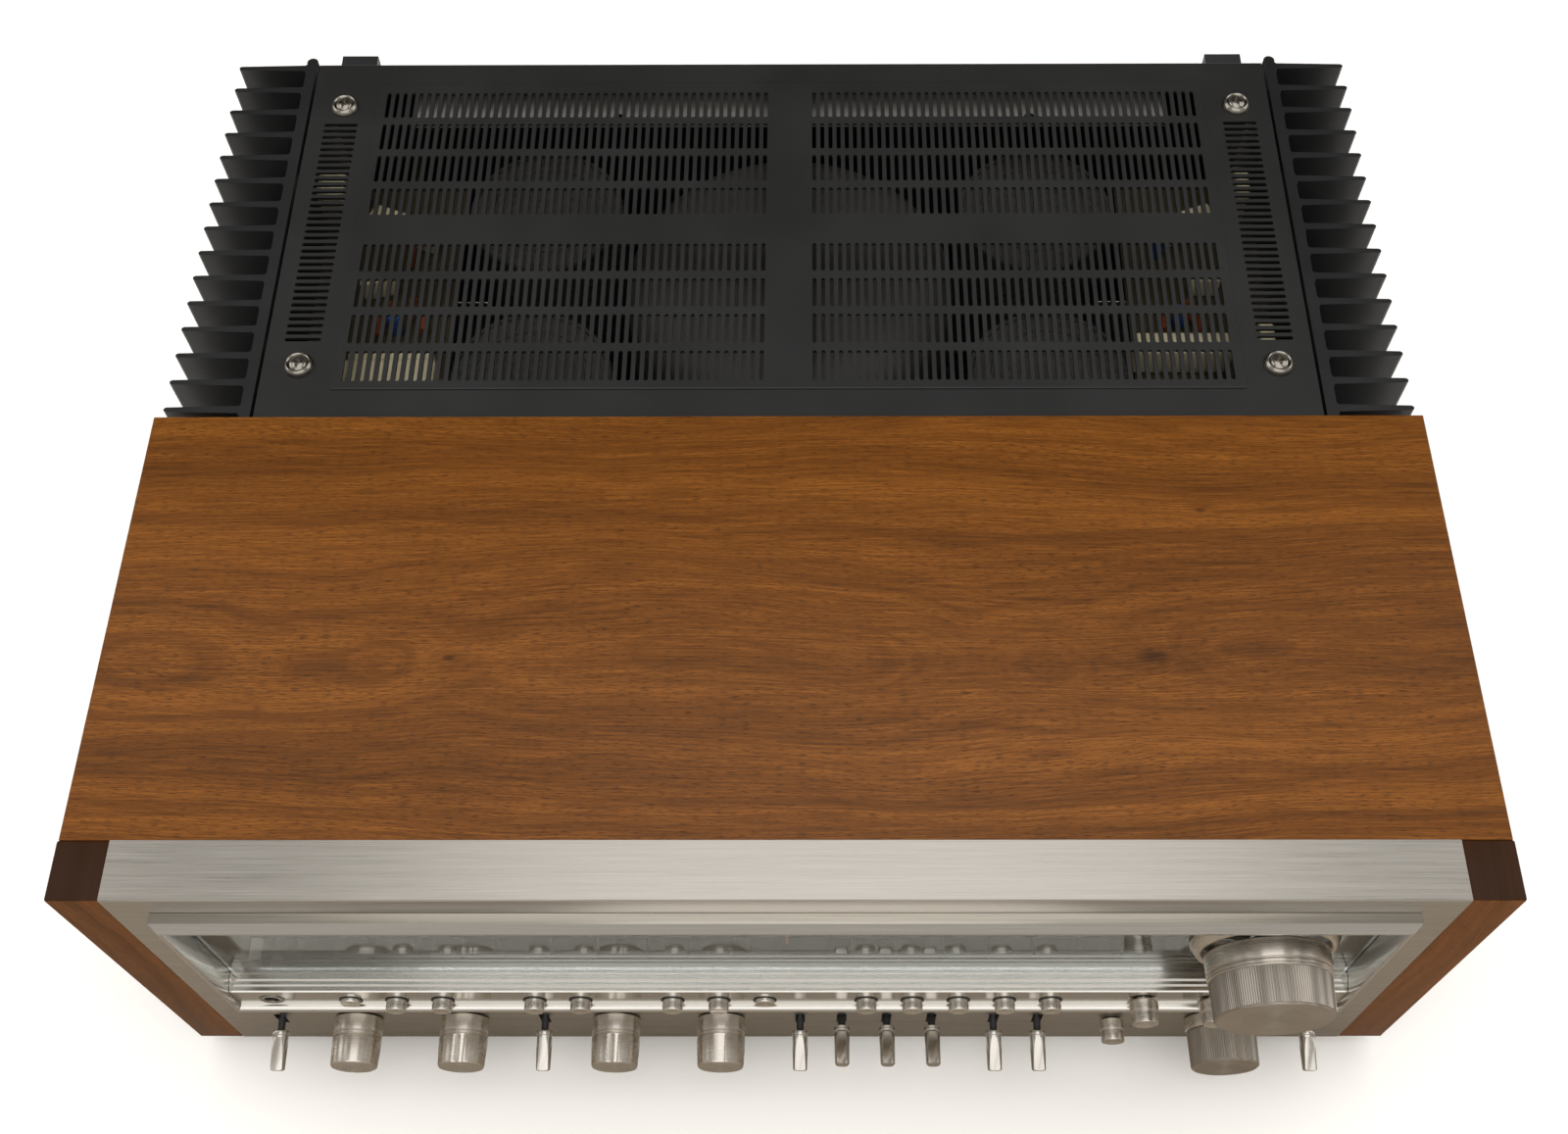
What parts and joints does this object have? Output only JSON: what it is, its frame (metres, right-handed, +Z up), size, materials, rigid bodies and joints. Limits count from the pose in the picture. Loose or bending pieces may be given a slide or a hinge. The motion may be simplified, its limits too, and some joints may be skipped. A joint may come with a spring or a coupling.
{
  "type": "stereo receiver",
  "caption": "Table-top stereo receiver: walnut cabinet, aluminium front with knobs, levers and push buttons, slotted black cover, finned side heat sinks.",
  "frame": {"origin": "on the ground under the middle of the object's box", "axes": "+X to the right seen from the front, +Y to the back, +Z up"},
  "size_m": [0.56, 0.4954, 0.21],
  "materials": {
    "walnut_veneer": "satin lacquered veneer",
    "walnut_solid": "satin lacquered solid wood",
    "brushed_aluminium": "brushed and clear anodised",
    "bright_trim": "polished and clear anodised",
    "spun_aluminium": "turned, knurled and spun",
    "chrome_plate": "bright chrome plate",
    "nickel_plate": "nickel plated steel",
    "zinc_steel": "zinc plated steel",
    "black_paint": "satin black stoved enamel",
    "black_anodised": "satin black anodised aluminium",
    "grey_paint": "hammered dark grey enamel",
    "black_plastic": "moulded, matt",
    "black_sleeve": "shrunk plastic sleeve",
    "circuit_board": "brown phenolic board",
    "dial_glass": "clear polished pane",
    "dial_print": "dark printed plate",
    "pointer_paint": "orange painted needle"
  },
  "bodies": {
    "receiver": {"wood_top": "walnut_veneer", "wood_sides": "walnut_veneer", "front_posts": "walnut_solid", "faceplate": "brushed_aluminium", "dial_frame": "bright_trim", "dial_glass": "dial_glass", "dial_scale": "dial_print", "button_panel": "bright_trim", "button_bezels": "black_plastic", "phones_jack": "nickel_plate", "chassis": "zinc_steel", "rear_panel": "black_paint", "rear_terminals": "black_plastic", "cord_gland": "black_plastic", "rear_standoffs": "black_plastic", "feet": "black_plastic", "top_cover": "black_paint", "cover_fasteners": "nickel_plate", "heatsink_left": "black_anodised", "heatsink_right": "black_anodised", "transformer": "grey_paint", "filter_capacitors": "black_sleeve", "circuit_boards": "circuit_board", "output_transistors": "nickel_plate", "control_bodies": "zinc_steel", "tuning_capacitor": "zinc_steel"},
    "button_01_body": {"button_01": "chrome_plate"},
    "button_02_body": {"button_02": "chrome_plate"},
    "button_03_body": {"button_03": "chrome_plate"},
    "button_04_body": {"button_04": "chrome_plate"},
    "button_05_body": {"button_05": "chrome_plate"},
    "button_06_body": {"button_06": "chrome_plate"},
    "button_07_body": {"button_07": "chrome_plate"},
    "button_08_body": {"button_08": "chrome_plate"},
    "button_09_body": {"button_09": "chrome_plate"},
    "button_10_body": {"button_10": "chrome_plate"},
    "button_11_body": {"button_11": "chrome_plate"},
    "button_12_body": {"button_12": "chrome_plate"},
    "button_13_body": {"button_13": "chrome_plate"},
    "lever_1_body": {"lever_1": "chrome_plate"},
    "lever_2_body": {"lever_2": "chrome_plate"},
    "lever_3_body": {"lever_3": "chrome_plate"},
    "lever_4_body": {"lever_4": "chrome_plate"},
    "lever_5_body": {"lever_5": "chrome_plate"},
    "lever_6_body": {"lever_6": "chrome_plate"},
    "lever_7_body": {"lever_7": "chrome_plate"},
    "lever_8_body": {"lever_8": "chrome_plate"},
    "lever_9_body": {"lever_9": "chrome_plate"},
    "tone_knob_1_body": {"tone_knob_1": "spun_aluminium"},
    "tone_knob_2_body": {"tone_knob_2": "spun_aluminium"},
    "tone_knob_3_body": {"tone_knob_3": "spun_aluminium"},
    "tone_knob_4_body": {"tone_knob_4": "spun_aluminium"},
    "small_knob_low_body": {"small_knob_low": "spun_aluminium"},
    "small_knob_left_body": {"small_knob_left": "spun_aluminium"},
    "small_knob_right_body": {"small_knob_right": "spun_aluminium"},
    "volume_knob_body": {"volume_knob": "spun_aluminium"},
    "tuning_body": {"tuning_knob": "spun_aluminium", "tuning_shaft": "zinc_steel"},
    "pointer_body": {"dial_pointer": "pointer_paint"},
    "capacitor_rotor_body": {"capacitor_rotor": "zinc_steel"}
  },
  "joints": [
    {"name": "button_01_press", "type": "slide", "parent": "receiver", "child": "button_01_body", "axis": [0, 1, 0], "range_m": [-0.0033, 0.0007]},
    {"name": "button_02_press", "type": "slide", "parent": "receiver", "child": "button_02_body", "axis": [0, 1, 0], "range_m": [0, 0.004], "stiffness_N_per_m": 200, "springref_m": -0.001},
    {"name": "button_03_press", "type": "slide", "parent": "receiver", "child": "button_03_body", "axis": [0, 1, 0], "range_m": [0, 0.004], "stiffness_N_per_m": 200, "springref_m": -0.001},
    {"name": "button_04_press", "type": "slide", "parent": "receiver", "child": "button_04_body", "axis": [0, 1, 0], "range_m": [0, 0.004], "stiffness_N_per_m": 200, "springref_m": -0.001},
    {"name": "button_05_press", "type": "slide", "parent": "receiver", "child": "button_05_body", "axis": [0, 1, 0], "range_m": [0, 0.004], "stiffness_N_per_m": 200, "springref_m": -0.001},
    {"name": "button_06_press", "type": "slide", "parent": "receiver", "child": "button_06_body", "axis": [0, 1, 0], "range_m": [0, 0.004], "stiffness_N_per_m": 200, "springref_m": -0.001},
    {"name": "button_07_press", "type": "slide", "parent": "receiver", "child": "button_07_body", "axis": [0, 1, 0], "range_m": [0, 0.004], "stiffness_N_per_m": 200, "springref_m": -0.001},
    {"name": "button_08_press", "type": "slide", "parent": "receiver", "child": "button_08_body", "axis": [0, 1, 0], "range_m": [-0.0033, 0.0007]},
    {"name": "button_09_press", "type": "slide", "parent": "receiver", "child": "button_09_body", "axis": [0, 1, 0], "range_m": [0, 0.004], "stiffness_N_per_m": 200, "springref_m": -0.001},
    {"name": "button_10_press", "type": "slide", "parent": "receiver", "child": "button_10_body", "axis": [0, 1, 0], "range_m": [0, 0.004], "stiffness_N_per_m": 200, "springref_m": -0.001},
    {"name": "button_11_press", "type": "slide", "parent": "receiver", "child": "button_11_body", "axis": [0, 1, 0], "range_m": [0, 0.004], "stiffness_N_per_m": 200, "springref_m": -0.001},
    {"name": "button_12_press", "type": "slide", "parent": "receiver", "child": "button_12_body", "axis": [0, 1, 0], "range_m": [0, 0.004], "stiffness_N_per_m": 200, "springref_m": -0.001},
    {"name": "button_13_press", "type": "slide", "parent": "receiver", "child": "button_13_body", "axis": [0, 1, 0], "range_m": [0, 0.004], "stiffness_N_per_m": 200, "springref_m": -0.001},
    {"name": "lever_1_throw", "type": "hinge", "parent": "receiver", "child": "lever_1_body", "pos_m": [-0.233, -0.21075, 0.047], "axis": [1, 0, 0], "range_deg": [-20, 0]},
    {"name": "lever_2_throw", "type": "hinge", "parent": "receiver", "child": "lever_2_body", "pos_m": [-0.112, -0.21075, 0.047], "axis": [1, 0, 0], "range_deg": [-20, 0]},
    {"name": "lever_3_throw", "type": "hinge", "parent": "receiver", "child": "lever_3_body", "pos_m": [0.005, -0.21075, 0.047], "axis": [1, 0, 0], "range_deg": [-20, 0]},
    {"name": "lever_4_throw", "type": "hinge", "parent": "receiver", "child": "lever_4_body", "pos_m": [0.024, -0.21075, 0.047], "axis": [1, 0, 0], "range_deg": [0, 20]},
    {"name": "lever_5_throw", "type": "hinge", "parent": "receiver", "child": "lever_5_body", "pos_m": [0.0445, -0.21075, 0.047], "axis": [1, 0, 0], "range_deg": [0, 20]},
    {"name": "lever_6_throw", "type": "hinge", "parent": "receiver", "child": "lever_6_body", "pos_m": [0.065, -0.21075, 0.047], "axis": [1, 0, 0], "range_deg": [0, 20]},
    {"name": "lever_7_throw", "type": "hinge", "parent": "receiver", "child": "lever_7_body", "pos_m": [0.0935, -0.21075, 0.047], "axis": [1, 0, 0], "range_deg": [-20, 0]},
    {"name": "lever_8_throw", "type": "hinge", "parent": "receiver", "child": "lever_8_body", "pos_m": [0.1135, -0.21075, 0.047], "axis": [1, 0, 0], "range_deg": [-20, 0]},
    {"name": "lever_9_throw", "type": "hinge", "parent": "receiver", "child": "lever_9_body", "pos_m": [0.2365, -0.21075, 0.047], "axis": [1, 0, 0], "range_deg": [-20, 0]},
    {"name": "tone_knob_1_turn", "type": "hinge", "parent": "receiver", "child": "tone_knob_1_body", "pos_m": [-0.197, -0.22875, 0.047], "axis": [0, 1, 0], "range_deg": [-150, 150]},
    {"name": "tone_knob_2_turn", "type": "hinge", "parent": "receiver", "child": "tone_knob_2_body", "pos_m": [-0.1485, -0.22875, 0.047], "axis": [0, 1, 0], "range_deg": [-150, 150]},
    {"name": "tone_knob_3_turn", "type": "hinge", "parent": "receiver", "child": "tone_knob_3_body", "pos_m": [-0.079, -0.22875, 0.047], "axis": [0, 1, 0], "range_deg": [-150, 150]},
    {"name": "tone_knob_4_turn", "type": "hinge", "parent": "receiver", "child": "tone_knob_4_body", "pos_m": [-0.031, -0.22875, 0.047], "axis": [0, 1, 0], "range_deg": [-150, 150]},
    {"name": "small_knob_low_turn", "type": "hinge", "parent": "receiver", "child": "small_knob_low_body", "pos_m": [0.1474, -0.22875, 0.047], "axis": [0, 1, 0], "range_deg": [-60, 60]},
    {"name": "small_knob_left_turn", "type": "hinge", "parent": "receiver", "child": "small_knob_left_body", "pos_m": [0.1542, -0.22875, 0.0925], "axis": [0, 1, 0], "range_deg": [-150, 150]},
    {"name": "small_knob_right_turn", "type": "hinge", "parent": "receiver", "child": "small_knob_right_body", "pos_m": [0.1846, -0.22875, 0.0925], "axis": [0, 1, 0], "range_deg": [-150, 150]},
    {"name": "volume_knob_turn", "type": "hinge", "parent": "receiver", "child": "volume_knob_body", "pos_m": [0.197, -0.22875, 0.047], "axis": [0, 1, 0], "range_deg": [-150, 150]},
    {"name": "tuning_turn", "type": "hinge", "parent": "receiver", "child": "tuning_body", "pos_m": [0.195, -0.21875, 0.15], "axis": [0, 1, 0], "range_deg": [-916, 916]},
    {"name": "pointer_travel", "type": "slide", "parent": "receiver", "child": "pointer_body", "axis": [1, 0, 0], "range_m": [-0.0802, 0.0802]},
    {"name": "capacitor_turn", "type": "hinge", "parent": "receiver", "child": "capacitor_rotor_body", "pos_m": [0.06, -0.12875, 0.1], "axis": [0, 1, 0], "range_deg": [-91, 91]}
  ],
  "couplings": [
    {"joint": "pointer_travel", "follows": "tuning_turn", "m_per_rad": 0.005},
    {"joint": "capacitor_turn", "follows": "tuning_turn", "ratio": 0.098175}
  ]
}
